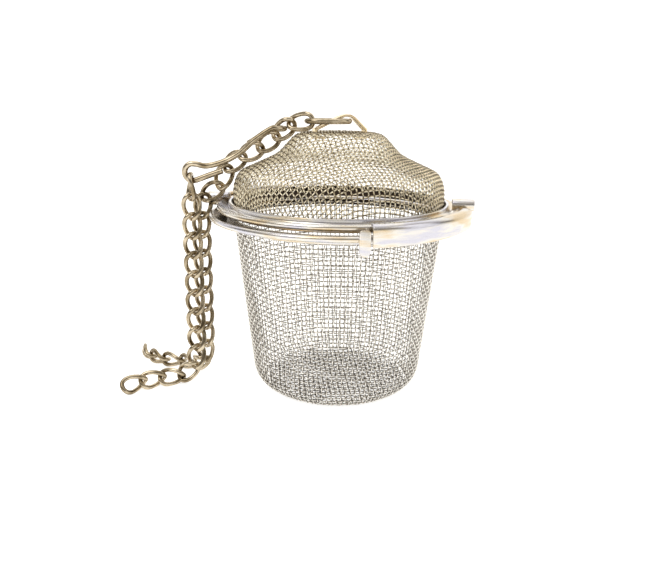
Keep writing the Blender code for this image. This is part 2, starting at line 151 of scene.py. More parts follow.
class InfuserLock(bpy.types.PropertyGroup):
    """Sizes of the twist lock on the basket's rim."""
    rail_start: angle("Rail start", "First edge of a rail", 12.5)
    lip_end: angle("Lip end", "Last edge of a rail and its lip over the lid", 72.5)
    lip_width: length("Lip width", "Reach of the lip over the lid", 1.55 * MM)
    lip_gap: length("Lip gap", "Room between the ear and the lip", 0.35 * MM)
    rail_gap: length("Rail gap", "Room between the ear and the rail", 0.4 * MM)
    rail_drop: length("Rail drop", "Reach of the rail below the rim at its start", 0.6 * MM)
    rail_rise: length("Rail rise", "How far the rail's lower edge rises to its end", 0.45 * MM)
    rail_round: length("Rail round", "Rounding where the rail turns over into its lip", 0.9 * MM)
    tongue_start: angle("Tongue start", "First edge of the stop tongue", 7.6)
    tongue_end: angle("Tongue end", "Last edge of the stop tongue", 12.0)
    tongue_drop: length("Tongue drop", "Reach of the tongue below the rim", 2.1 * MM)
    web: length("Web", "Thickness of the web from the bead to the rail", 0.45 * MM)
    edge: length("Edge", "Rounding of the pressed edges", 0.14 * MM)


class InfuserWeave(bpy.types.PropertyGroup):
    """Sizes of the woven wire."""
    pitch: length("Pitch", "Distance between neighbouring wires", 0.82 * MM)
    wire: length("Wire", "Thickness of the wire", 0.2 * MM)
    wave: length("Wave", "How far a wire rises and dips at each crossing", 0.1 * MM)
    inset: length("Inset", "Middle of the weave, in from the outside of the wall", 0.225 * MM)
    wobble: length("Wobble", "How far the basket's hoops stray from level", 0.05 * MM)
    lean: angle("Lean", "Lean of the basket's upright wires", 1.5)
    turn: angle("Turn", "Turn of the basket's weave about the upright axis", 6.0)
    # painted shade: the bottom's wires get only this share of the painted highlight, so the bottom reads
    # darker
    bottom_highlight_share: share("Bottom rub", "How far the wire of the basket's bottom is rubbed", 0.3)
    lid_turn: angle("Lid turn", "Turn of the lid's weave about the upright axis", 20.0)


class InfuserChain(bpy.types.PropertyGroup):
    """Sizes of the ring, the links and the hook."""
    link_length: length("Link length", "Outside length of a link", 4.8 * MM)
    link_width: length("Link width", "Outside width of a link before its twist", 3.3 * MM)
    link_wire: length("Link wire", "Thickness of a link's wire", 0.75 * MM)
    link_twist: angle("Link twist", "Turn of each end of a link", 45.0)
    ring_length: length("Ring length", "Outside length of the ring", 7.8 * MM)
    ring_width: length("Ring width", "Outside width of the ring", 5.0 * MM)
    ring_wire: length("Ring wire", "Thickness of the ring's wire", 0.9 * MM)
    hook_wire: length("Hook wire", "Thickness of the hook's wire", 0.95 * MM)
    hook_overhang: length("Hook overhang", "How far the eye hangs out past the basket's rim", 1.9 * MM)
    hook_bend: length("Hook bend", "Width of the open bend", 4.0 * MM)
    hook_stub: length("Hook stub", "Length of the open end", 6.2 * MM)
    hook_stub_drop: length("Hook stub drop", "How far the open end slopes down", 2.6 * MM)
    eye_width: length("Eye width", "Width of the closed eye", 2.7 * MM)
    eye_length: length("Eye length", "Length of the closed eye", 5.4 * MM)


class InfuserFinish(bpy.types.PropertyGroup):
    """Colours and gloss of the steel."""
    rim: colour("Rim", "Polished sheet", (0.70, 0.67, 0.62, 1.0))
    rim_warm: colour("Rim warm", "Straw tint that wanders over the sheet", (0.64, 0.51, 0.33, 1.0))
    rim_cool: colour("Rim cool", "Cool tint that wanders over the sheet", (0.56, 0.55, 0.60, 1.0))
    # painted shade: this near-black colour darkens the faces inside the rims' bores, standing for the shadow
    # and dark reflection in the gap between the rims
    painted_shade: colour("Stain", "Tea stain inside the rims", (0.035, 0.025, 0.018, 1.0))
    rim_gloss: share("Rim roughness", "Roughness of the sheet", 0.24)
    weave: colour("Weave", "Basket wire", (0.50, 0.465, 0.41, 1.0))
    # painted shade and painted highlight: the dip colour paints shade where the basket's wires pass under,
    # the brightest colour paints a highlight where they cross over
    weave_dip_shade: colour("Weave dip", "Basket wire in the dips of the weave", (0.08, 0.065, 0.045, 1.0))
    weave_highlight: colour("Weave rub", "Basket wire where it is rubbed", (0.97, 0.95, 0.90, 1.0))
    lid_weave: colour("Lid weave", "Lid wire", (0.82, 0.73, 0.54, 1.0))
    # painted shade and painted highlight: the dip colour paints shade where the lid's wires pass under, the
    # brightest colour paints a highlight where they cross over
    lid_dip_shade: colour("Lid dip", "Lid wire in the dips of the weave", (0.13, 0.09, 0.045, 1.0))
    lid_highlight: colour("Lid rub", "Lid wire where it is rubbed", (1.0, 0.93, 0.75, 1.0))
    weave_gloss: share("Weave roughness", "Roughness of the woven wire", 0.22)
    loop: colour("Loop", "Straw-coloured strip of the loop", (0.86, 0.72, 0.46, 1.0))
    chain: colour("Chain", "Chain and hook wire", (0.62, 0.53, 0.39, 1.0))
    chain_tint: colour("Chain tint", "Darker places on the chain", (0.22, 0.17, 0.10, 1.0))
    chain_gloss: share("Chain roughness", "Roughness of the chain", 0.15)


GROUPS = {"infuser_basket": InfuserBasket, "infuser_lid": InfuserLid, "infuser_lock": InfuserLock,
          "infuser_weave": InfuserWeave, "infuser_chain": InfuserChain, "infuser_finish": InfuserFinish}


def sizes():
    """The six groups of values, in the order of GROUPS."""
    return [getattr(bpy.context.scene, name) for name in GROUPS]


def steel(name, stops, roughness, patch, streak, painted_light=False, painted_shade=None):
    """Steel whose colour wanders between its stops, with fine drawn streaks, on object coordinates.

    Where the attribute flag is set, the steel is brighter where its mesh's per-point value is high: a painted
    highlight on the weave's raised crossings and painted shade in its dips. The optional radius and colour
    are
    painted shade: the faces inside that radius are darkened to stand for the shadow in the gap between the
    rims.
    """
    material = bpy.data.materials.get(name) or bpy.data.materials.new(name)
    material.use_nodes = True
    nodes, links = material.node_tree.nodes, material.node_tree.links
    nodes.clear()
    output = nodes.new("ShaderNodeOutputMaterial")
    shader = nodes.new("ShaderNodeBsdfPrincipled")
    shader.inputs["Metallic"].default_value = 1.0
    place = nodes.new("ShaderNodeTexCoord")
    spread = nodes.new("ShaderNodeMapping")
    spread.inputs["Scale"].default_value = patch
    patches = nodes.new("ShaderNodeTexNoise")
    patches.inputs["Scale"].default_value = 1.0
    patches.inputs["Detail"].default_value = 3.0
    ramp = nodes.new("ShaderNodeValToRGB")
    low, high = (0.0, 1.0) if painted_light else (0.36, 0.64)
    for i in range(len(stops) - 2):
        ramp.color_ramp.elements.new(0.5)
    for i, (element, shade) in enumerate(zip(ramp.color_ramp.elements, stops)):
        element.position = low + (high - low) * i / (len(stops) - 1)
        element.color = shade
    stretch = nodes.new("ShaderNodeMapping")
    stretch.inputs["Scale"].default_value = streak
    grain = nodes.new("ShaderNodeTexNoise")
    grain.inputs["Scale"].default_value = 1.0
    grain.inputs["Detail"].default_value = 4.0
    gloss = nodes.new("ShaderNodeMapRange")
    gloss.inputs["To Min"].default_value = roughness * 0.7
    gloss.inputs["To Max"].default_value = roughness * 1.3
    bump = nodes.new("ShaderNodeBump")
    bump.inputs["Strength"].default_value = 0.08
    bump.inputs["Distance"].default_value = 0.02 * MM
    links.new(place.outputs["Object"], spread.inputs["Vector"])
    links.new(spread.outputs["Vector"], patches.inputs["Vector"])
    links.new(place.outputs["Object"], stretch.inputs["Vector"])
    links.new(stretch.outputs["Vector"], grain.inputs["Vector"])
    # painted light: the per-point value lifts the ramp to the highlight colour on raised crossings and leaves
    # the dips at the painted-shade colour
    if painted_light:
        painted_lit = nodes.new("ShaderNodeAttribute")
        painted_lit.attribute_name = "painted_light"
        mixed = nodes.new("ShaderNodeMath")
        mixed.operation = "MULTIPLY_ADD"
        mixed.inputs[1].default_value = 0.4
        shift = nodes.new("ShaderNodeMath")
        shift.operation = "SUBTRACT"
        shift.inputs[1].default_value = 0.2
        links.new(patches.outputs["Fac"], mixed.inputs[0])
        links.new(painted_lit.outputs["Fac"], mixed.inputs[2])
        links.new(mixed.outputs[0], shift.inputs[0])
        links.new(shift.outputs[0], ramp.inputs["Fac"])
    else:
        links.new(patches.outputs["Fac"], ramp.inputs["Fac"])
    tone = ramp.outputs["Color"]
    # painted shade: faces inside the given radius turn to the dark colour, standing for the shadow in the gap
    # between the rims
    if painted_shade:
        flat = nodes.new("ShaderNodeVectorMath")
        flat.operation = "MULTIPLY"
        flat.inputs[1].default_value = (1.0, 1.0, 0.0)
        reach = nodes.new("ShaderNodeVectorMath")
        reach.operation = "LENGTH"
        inside = nodes.new("ShaderNodeMath")
        inside.operation = "LESS_THAN"
        inside.inputs[1].default_value = painted_shade[0]
        darker = nodes.new("ShaderNodeMix")
        darker.data_type = "RGBA"
        darker.inputs["B"].default_value = painted_shade[1]
        links.new(place.outputs["Object"], flat.inputs[0])
        links.new(flat.outputs["Vector"], reach.inputs[0])
        links.new(reach.outputs["Value"], inside.inputs[0])
        links.new(inside.outputs[0], darker.inputs["Factor"])
        links.new(tone, darker.inputs["A"])
        tone = darker.outputs["Result"]
    links.new(tone, shader.inputs["Base Color"])
    links.new(grain.outputs["Fac"], gloss.inputs["Value"])
    links.new(gloss.outputs["Result"], shader.inputs["Roughness"])
    links.new(grain.outputs["Fac"], bump.inputs["Height"])
    links.new(bump.outputs["Normal"], shader.inputs["Normal"])
    links.new(shader.outputs["BSDF"], output.inputs["Surface"])
    return material


def rim_steel(bore):
    """Polished sheet with straw and cool streaks along the rim, with painted shade inside its bore."""
    finish = bpy.context.scene.infuser_finish
    return steel("rim_steel", (finish.rim_warm, finish.rim, finish.rim_cool), finish.rim_gloss,
                 (140.0, 140.0, 900.0), (120.0, 120.0, 4000.0), painted_shade=(bore + 0.05 * MM, finish.painted_shade))


def woven_steel(name, stops):
    """Wire of the weave, with painted shade in its dips and a painted highlight where it crosses over."""
    finish = bpy.context.scene.infuser_finish
    return steel(name, stops, finish.weave_gloss, (260.0,) * 3, (900.0,) * 3, painted_light=True)


def chain_steel():
    """Wire of the ring, the links and the hook."""
    finish = bpy.context.scene.infuser_finish
    return steel("chain_wire", (finish.chain_tint, finish.chain), finish.chain_gloss, (420.0,) * 3,
                 (700.0,) * 3)


def polar(radius, degrees, height=0.0):
    turn = math.radians(degrees)
    return Vector((radius * math.sin(turn), -radius * math.cos(turn), height))


def arc(centre, radius, start, end, steps):
    """Points of an arc in a flat (radius, height) profile, angles in degrees from +radius."""
    points = []
    for i in range(steps + 1):
        turn = math.radians(start + (end - start) * i / steps)
        points.append((centre[0] + radius * math.cos(turn), centre[1] + radius * math.sin(turn)))
    return points


def smooth_path(points, per_span):
    """A smooth curve through chosen points (Catmull-Rom)."""
    ends = [2 * points[0] - points[1]] + list(points) + [2 * points[-1] - points[-2]]
    path = []
    for i in range(1, len(ends) - 2):
        a, b, c, d = ends[i - 1:i + 3]
        for k in range(per_span):
            t = k / per_span
            path.append(0.5 * (2 * b + (c - a) * t + (2 * a - 5 * b + 4 * c - d) * t ** 2
                               + (3 * b - a - 3 * c + d) * t ** 3))
    path.append(points[-1])
    return path


def strip(centreline, thickness):
    """Outline of a bent strip of even thickness along an open centreline of (x, z) points."""
    points = [Vector(p) for p in centreline]
    left = []
    right = []
    for i, point in enumerate(points):
        before = (point - points[i - 1]).normalized() if i > 0 else None
        after = (points[i + 1] - point).normalized() if i + 1 < len(points) else None
        before = before or after
        after = after or before
        normal = Vector((-(before + after).y, (before + after).x)).normalized()
        reach = thickness / 2 / normal.dot(Vector((-after.y, after.x)))
        left.append(point + normal * reach)
        right.append(point - normal * reach)
    return [tuple(p) for p in left] + [tuple(p) for p in reversed(right)]


def add_turned(bm, profile, start=0.0, end=360.0, step=2.0, foot_rise=0.0):
    """A closed (radius, height) profile turned round Z, capped at both ends unless it closes on itself.

    Its lowest edge may rise along the way.
    """
    count = max(2, round((end - start) / step))
    full = end - start >= 360.0
    foot = min(z for _, z in profile)
    rings = []
    for k in range(count if full else count + 1):
        share_round = k / count
        lifted = [(r, z + foot_rise * share_round if z == foot else z) for r, z in profile]
        rings.append([bm.verts.new(polar(r, start + (end - start) * share_round, z)) for r, z in lifted])
    for k in range(count):
        here, there = rings[k], rings[(k + 1) % len(rings)]
        for i in range(len(profile)):
            j = (i + 1) % len(profile)
            bm.faces.new((here[i], here[j], there[j], there[i]))
    if not full:
        bm.faces.new(rings[0])
        bm.faces.new(reversed(rings[-1]))


def add_prism(bm, outline, place, low, high):
    """A flat outline in the place's first and third axes, pulled along its second."""
    near = [bm.verts.new(place @ Vector((x, low, z))) for x, z in outline]
    far = [bm.verts.new(place @ Vector((x, high, z))) for x, z in outline]
    for i in range(len(outline)):
        j = (i + 1) % len(outline)
        bm.faces.new((near[i], near[j], far[j], far[i]))
    bm.faces.new(reversed(near))
    bm.faces.new(far)


def tongue_outline(half, low, high):
    """A tongue seen from the front: a round foot and rounded shoulders."""
    shoulder = half / 2
    points = arc((0.0, low + half), half, 180.0, 360.0, 12)
    points += arc((half - shoulder, high - shoulder), shoulder, 0.0, 90.0, 4)
    return points + arc((shoulder - half, high - shoulder), shoulder, 90.0, 180.0, 4)


def add_piece(name, mesh, material, body, slot, *nodes):
    """Links a finished mesh as a piece that rides on a body and stands for its nodes."""
    mesh.name = name
    mesh.materials.clear()
    mesh.materials.append(material)
    piece = bpy.data.objects.new(name, mesh)
    bpy.context.scene.collection.objects.link(piece)
    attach(piece, body)
    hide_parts(*nodes)


def pressed_mesh(bm, edge):
    """Closes a pressed sheet piece: outward faces, rounded edges, smooth shading."""
    bmesh.ops.recalc_face_normals(bm, faces=bm.faces)
    mesh = bpy.data.meshes.new("pressed")
    bm.to_mesh(mesh)
    bm.free()
    blank = bpy.data.objects.new("pressed", mesh)
    bpy.context.scene.collection.objects.link(blank)
    bevel = blank.modifiers.new("edges", "BEVEL")
    bevel.width = edge
    bevel.segments = 3
    bevel.limit_method = "ANGLE"
    bevel.angle_limit = math.radians(50)
    done = evaluated_mesh(blank)
    done.shade_smooth()
    done.set_sharp_from_angle(angle=math.radians(40))
    return done


def evaluated_mesh(obj):
    """The object's mesh with its modifiers worked in; the object itself is removed."""
    bpy.context.view_layer.update()
    depsgraph = bpy.context.evaluated_depsgraph_get()
    mesh = bpy.data.meshes.new_from_object(obj.evaluated_get(depsgraph))
    obj.modifiers.clear()
    old = obj.data
    bpy.data.objects.remove(obj, do_unlink=True)
    if old.users == 0:
        bpy.data.meshes.remove(old)
    return mesh


def new_tree(name, inputs):
    """An empty Geometry Nodes tree with a geometry socket each way and named inputs."""
    tree = bpy.data.node_groups.new(name, "GeometryNodeTree")
    tree.interface.new_socket("Geometry", in_out="INPUT", socket_type="NodeSocketGeometry")
    for label, kind in inputs:
        tree.interface.new_socket(label, in_out="INPUT", socket_type=kind)
    tree.interface.new_socket("Geometry", in_out="OUTPUT", socket_type="NodeSocketGeometry")
    return tree


def grown(tree, mesh, values):
    """Runs a tree on a mesh with its named inputs set, and gives back the plain mesh."""
    source = bpy.data.objects.new(tree.name, mesh)
    bpy.context.scene.collection.objects.link(source)
    modifier = source.modifiers.new(tree.name, "NODES")
    modifier.node_group = tree
    for item in tree.interface.items_tree:
        if item.in_out == "INPUT" and item.name in values:
            modifier[item.identifier] = values[item.name]
    return evaluated_mesh(source)


def end_tree(tree, geometry, material_socket):
    """Smooth shading, realized instances and the material, as every tree here ends."""
    nodes, links = tree.nodes, tree.links
    smooth = nodes.new("GeometryNodeSetShadeSmooth")
    realize = nodes.new("GeometryNodeRealizeInstances")
    paint = nodes.new("GeometryNodeSetMaterial")
    output = nodes.new("NodeGroupOutput")
    links.new(geometry, smooth.inputs["Geometry"])
    links.new(smooth.outputs["Geometry"], realize.inputs["Geometry"])
    links.new(realize.outputs["Geometry"], paint.inputs["Geometry"])
    links.new(material_socket, paint.inputs["Material"])
    links.new(paint.outputs["Geometry"], output.inputs["Geometry"])


def round_wire(tree, curve, wire_socket, sides_socket):
    """Adds a round section along a curve and gives back the tube's socket."""
    nodes, links = tree.nodes, tree.links
    half = nodes.new("ShaderNodeMath")
    half.operation = "MULTIPLY"
    half.inputs[1].default_value = 0.5
    section = nodes.new("GeometryNodeCurvePrimitiveCircle")
    tube = nodes.new("GeometryNodeCurveToMesh")
    tube.inputs["Fill Caps"].default_value = True
    links.new(wire_socket, half.inputs[0])
    links.new(half.outputs[0], section.inputs["Radius"])
    links.new(sides_socket, section.inputs["Resolution"])
    links.new(curve, tube.inputs["Curve"])
    links.new(section.outputs["Curve"], tube.inputs["Profile Curve"])
    return tube.outputs["Mesh"]


def wire_tree():
    """Tree that gives every run of edges a round wire."""
    tree = bpy.data.node_groups.get("wire_along_edges")
    if tree:
        return tree
    tree = new_tree("wire_along_edges", (("Wire", "NodeSocketFloat"), ("Sides", "NodeSocketInt"),
                                         ("Material", "NodeSocketMaterial")))
    given = tree.nodes.new("NodeGroupInput")
    runs = tree.nodes.new("GeometryNodeMeshToCurve")
    tree.links.new(given.outputs["Geometry"], runs.inputs["Mesh"])
    tube = round_wire(tree, runs.outputs["Curve"], given.outputs["Wire"], given.outputs["Sides"])
    end_tree(tree, tube, given.outputs["Material"])
    return tree


def link_tree():
    """Tree of one curb link along +X: an oval of wire whose ends are turned about its length."""
    tree = bpy.data.node_groups.get("curb_link")
    if tree:
        return tree
    names = ("Length", "Width", "Wire", "Near Twist", "Far Twist")
    tree = new_tree("curb_link", [(name, "NodeSocketFloat") for name in names]
                    + [("Steps", "NodeSocketInt"), ("Sides", "NodeSocketInt")]
                    + [("Material", "NodeSocketMaterial")])
    nodes, links = tree.nodes, tree.links
    given = nodes.new("NodeGroupInput")

    def sum_of(operation, *terms):
        node = nodes.new("ShaderNodeMath")
        node.operation = operation
        for socket, term in zip(node.inputs, terms):
            if isinstance(term, (int, float)):
                socket.default_value = term
            else:
                links.new(term, socket)
        return node.outputs[0]

    circle = nodes.new("GeometryNodeCurvePrimitiveCircle")
    circle.inputs["Radius"].default_value = 1.0
    links.new(given.outputs["Steps"], circle.inputs["Resolution"])
    here = nodes.new("GeometryNodeInputPosition")
    parts = nodes.new("ShaderNodeSeparateXYZ")
    links.new(here.outputs["Position"], parts.inputs["Vector"])
    full = [sum_of("MULTIPLY", sum_of("SIGN", parts.outputs[axis]),
                   sum_of("POWER", sum_of("ABSOLUTE", parts.outputs[axis]), OVAL_POWER)) for axis in "XY"]
    half_length = sum_of("MULTIPLY", sum_of("SUBTRACT", given.outputs["Length"], given.outputs["Wire"]), 0.5)
    half_width = sum_of("MULTIPLY", sum_of("SUBTRACT", given.outputs["Width"], given.outputs["Wire"]), 0.5)
    reach = sum_of("MULTIPLY_ADD", full[0], 0.5, 0.5)
    spread = sum_of("SUBTRACT", given.outputs["Far Twist"], given.outputs["Near Twist"])
    roll = sum_of("MULTIPLY_ADD", spread, reach, given.outputs["Near Twist"])
    across = sum_of("MULTIPLY", full[1], half_width)
    place = nodes.new("ShaderNodeCombineXYZ")
    links.new(sum_of("MULTIPLY", full[0], half_length), place.inputs["X"])
    links.new(sum_of("MULTIPLY", across, sum_of("COSINE", roll)), place.inputs["Y"])
    links.new(sum_of("MULTIPLY", across, sum_of("SINE", roll)), place.inputs["Z"])
    bend = nodes.new("GeometryNodeSetPosition")
    links.new(circle.outputs["Curve"], bend.inputs["Geometry"])
    links.new(place.outputs["Vector"], bend.inputs["Position"])
    tube = round_wire(tree, bend.outputs["Geometry"], given.outputs["Wire"], given.outputs["Sides"])
    end_tree(tree, tube, given.outputs["Material"])
    return tree


class Surface:
    """A turned surface, read by length along its profile and by angle from the front."""

    def __init__(self, profile):
        self.points = [Vector(p) for p in profile]
        self.lengths = [0.0]
        for before, after in zip(self.points, self.points[1:]):
            self.lengths.append(self.lengths[-1] + (after - before).length)

    def flat(self, along):
        """Radius, height and direction at a length along the profile, which runs on past its end."""
        i = min(max(bisect.bisect_right(self.lengths, along) - 1, 0), len(self.points) - 2)
        step = (self.points[i + 1] - self.points[i]).normalized()
        return self.points[i] + step * (along - self.lengths[i]), step

    def at(self, along, turn):
        spot, _ = self.flat(along)
        return Vector((spot.x * math.sin(turn), -spot.x * math.cos(turn), spot.y))

    def normal(self, along, turn):
        _, step = self.flat(along)
        return Vector((step.y * math.sin(turn), -step.y * math.cos(turn), -step.x))


def crossing(surface, pitch, left, right, last):
    """The next crossing of a square weave: one pitch from both neighbours, on the surface."""
    a, b, c = (surface.at(*spot) for spot in (left, right, last))
    guess = a + b - c
    along = left[0] + right[0] - last[0]
    turn = math.atan2(guess.x, -guess.y)
    small = pitch * 1e-3
    for _ in range(25):
        spot = surface.at(along, turn)
        miss = ((spot - a).length - pitch, (spot - b).length - pitch)
        if max(abs(miss[0]), abs(miss[1])) < pitch * 1e-4:
            return (along, turn) if (spot - c).length > 0.3 * pitch else None
        radius = max(surface.flat(along)[0].x, small)
        d_along = (surface.at(along + small, turn) - spot) / small
        d_turn = (surface.at(along, turn + small / radius) - spot) / small
        to_a, to_b = (spot - a).normalized(), (spot - b).normalized()
        m = Matrix(((to_a.dot(d_along), to_a.dot(d_turn)), (to_b.dot(d_along), to_b.dot(d_turn))))
        if abs(m.determinant()) < 1e-3:
            return None
        step = m.inverted() @ Vector(miss)
        step *= min(1.0, 0.5 * pitch / max(step.length, 1e-12))
        along -= step.x
        turn -= step.y / radius
    return None


def drape(surface, pitch):
    """Crossings of a square weave pressed over a turned form, in one quarter, as (row, column)."""
    reach = surface.lengths[-1] + 2 * pitch
    count = int(reach / pitch) + 1
    found = {}
    for i in range(count):
        found[i, 0] = (i * pitch, 0.0)
        found[0, i] = (i * pitch, math.pi / 2)
    for total in range(2, 4 * count):
        for i in range(1, total):
            j = total - i
            around = [found.get(key) for key in ((i - 1, j), (i, j - 1), (i - 1, j - 1))]
            if None in around or min(around[0][0], around[1][0]) > reach:
                continue
            spot = crossing(surface, pitch, *around)
            if spot:
                found[i, j] = spot
    return found


def draped_runs(surface, weave, turn, painted_lit):
    """Runs of (point, painted highlight) for every wire of a weave pressed over a form, up to the end of its
    profile.
    """
    quarter = drape(surface, weave.pitch)
    size = max(max(key) for key in quarter)
    spin = Matrix.Rotation(turn, 3, "Z")
    end = surface.lengths[-1]

    def spot(i, j, lift):
        along, angle_round = quarter[abs(i), abs(j)]
        point = surface.at(along, angle_round) + surface.normal(along, angle_round) * lift
        x = math.copysign(point.x, j) if j else 0.0
        y = math.copysign(point.y, -i) if i else 0.0
        return spin @ Vector((x, y, point.z))

    runs = []
    for swap in (False, True):
        for i in range(-size, size + 1):
            run = []
            for j in range(-size, size + 1):
                key = (j, i) if swap else (i, j)
                inside = (abs(key[0]), abs(key[1])) in quarter and quarter[abs(key[0]), abs(key[1])][0] <= end
                if inside:
                    # raised crossings carry the given share of painted highlight; dips carry none and take
                    # the painted shade
                    over = (i + j + swap) % 2
                    run.append((spot(*key, weave.wave * (2 * over - 1)), painted_lit * over))
                elif run:
                    runs.append(run)
                    run = []
            if run:
                runs.append(run)
    return [run for run in runs if len(run) > 1]


def wrapped_runs(surface, weave):
    """Runs of a weave wrapped round a wall: closed hoops, and staves that cross them up to the rim."""
    hoops = int(surface.lengths[-1] / weave.pitch) + 1
    middle = surface.flat(surface.lengths[-1] / 2)[0].x
    staves = 2 * round(math.pi * middle / weave.pitch)

    def spot(row, column, over):
        climb = row * weave.pitch
        turn = weave.turn + math.tau * column / staves + climb * math.tan(weave.lean) / middle
        along = climb + weave.wobble * math.sin(3 * turn + 0.3 * row)
        lift = weave.wave * (2 * over - 1)
        # the second value is painted light: 1 on raised crossings (highlight), 0 in the dips (shade)
        return surface.at(along, turn) + surface.normal(along, turn) * lift, float(over)

    runs = [[spot(row, column, (row + column) % 2) for column in range(staves + 1)] for row in range(hoops)]
    runs += [[spot(row, column, (row + column + 1) % 2) for row in range(hoops)] for column in range(staves)]
    return runs


def woven_mesh(runs, weave, material):
    """Runs of a weave as round wires in one mesh."""
    points = []
    edges = []
    for run in runs:
        edges += [(len(points) + k, len(points) + k + 1) for k in range(len(run) - 1)]
        points += run
    mesh = bpy.data.meshes.new("weave")
    mesh.from_pydata([point for point, _ in points], edges, [])
    # per-point painted light for the material: highlight on raised crossings, shade in the dips
    painted_light = mesh.attributes.new("painted_light", "FLOAT", "POINT")
    painted_light.data.foreach_set("value", [painted_lit for _, painted_lit in points])
    return grown(wire_tree(), mesh, {"Wire": weave.wire, "Sides": WEAVE_SIDES, "Material": material})


def wire_mesh(points, wire, material):
    """One round wire along points."""
    edges = [(k, k + 1) for k in range(len(points) - 1)]
    mesh = bpy.data.meshes.new("wire")
    mesh.from_pydata(points, edges, [])
    return grown(wire_tree(), mesh, {"Wire": wire, "Sides": LINK_SIDES, "Material": material})


def heights():
    """Heights that follow from the sizes: flange top, lid bottom, dome base, crown and rail top."""
    basket, lid, lock, *_ = sizes()
    flange_top = basket.rim_height + 2 * basket.bead
    lid_bottom = flange_top + lid.gap
    dome_base = lid_bottom + basket.sheet
    rail_top = dome_base + lock.lip_gap + basket.sheet
    return flange_top, lid_bottom, dome_base, dome_base + lid.dome_rise, rail_top


class INFUSER_OT_basket(bpy.types.Operator):
    """Weave the basket and press its rim with the lock rails"""
    bl_idname = "infuser.basket"
    bl_label = "Basket"

    def execute(self, context):
        basket, lid, lock, weave, _, finish = sizes()
        _, lid_bottom, _, _, rail_top = heights()
        wire = woven_steel("basket_wire", (finish.weave_dip_shade, finish.weave, finish.weave_highlight))
        rise = basket.rim_height - basket.base_corner
        taper = math.degrees(math.atan2(basket.mouth_radius - basket.base_radius, rise))
        centre = (basket.base_radius - basket.base_corner, basket.base_corner)
        bottom = [(0.0, weave.inset)] + arc(centre, basket.base_corner - weave.inset, -90.0, -60.0, 6)
        wall = arc(centre, basket.base_corner - weave.inset, -60.0, -taper, 10)
        wall.append((basket.mouth_radius - weave.inset, basket.rim_height + 0.6 * basket.sheet))
        # the bottom's wires get a weaker painted highlight, painted shade that darkens the bottom
        runs = draped_runs(Surface(bottom), weave, weave.turn, weave.bottom_highlight_share)
        runs += wrapped_runs(Surface(wall), weave)
        mesh = woven_mesh(runs, weave, wire)
        add_piece("basket_weave", mesh, wire, "basket", "woven_steel", "basket_mesh")

        sheet = basket.sheet
        bore = basket.mouth_radius + basket.grip
        bead = (basket.flange_radius - basket.bead, basket.rim_height + basket.bead)
        bm = bmesh.new()
        collar_foot = basket.rim_height - basket.collar
        profile = [(bore, collar_foot), (bore + sheet, collar_foot)]
        profile += arc((bore + 2 * sheet, basket.rim_height - sheet), sheet, 180.0, 90.0, 4)
        profile += arc(bead, basket.bead, -90.0, 130.0, 14)
        profile += [(bead[0] - 2 * basket.bead, basket.rim_height + sheet)]
        profile += arc((bore + sheet, basket.rim_height), sheet, 90.0, 180.0, 4)
        add_turned(bm, profile)
        rail_in = lid.rim_radius + lid.ear + lock.rail_gap
        rail_out = rail_in + sheet
        low, high = bead[1] - lock.web / 2, bead[1] + lock.web / 2
        foot = basket.rim_height - lock.rail_drop
        turn_over = (rail_out - lock.rail_round, rail_top - lock.rail_round)
        rail = [(rail_in, foot), (rail_out, foot)] + arc(turn_over, lock.rail_round, 0.0, 90.0, 8)
        rail += [(rail_out - lock.lip_width, rail_top), (rail_out - lock.lip_width, rail_top - sheet)]
        rail += arc(turn_over, lock.rail_round - sheet, 90.0, 0.0, 5)
        rail += [(rail_in, high), (bead[0], high), (bead[0], low), (rail_in, low)]
        web = [(bead[0], low), (rail_in, low), (rail_in, high), (bead[0], high)]
        start, end = math.degrees(lock.tongue_start), math.degrees(lock.tongue_end)
        half = rail_in * math.sin(math.radians(end - start) / 2)
        tongue = tongue_outline(half, basket.rim_height - lock.tongue_drop + sheet / 2, lid_bottom + sheet)
        for turn in SIDES:
            add_turned(bm, rail, math.degrees(lock.rail_start) + turn, math.degrees(lock.lip_end) + turn,
                       foot_rise=lock.rail_rise)
            add_turned(bm, web, start + turn, end + turn)
            place = Matrix.Rotation(math.radians((start + end) / 2 + turn), 4, "Z")
            add_prism(bm, tongue, place, -(rail_in + sheet / 2), -(rail_in - sheet / 2))
        band = pressed_mesh(bm, lock.edge)
        add_piece("basket_band", band, rim_steel(bore), "basket", "polished_steel", "basket_rim")
        return {"FINISHED"}


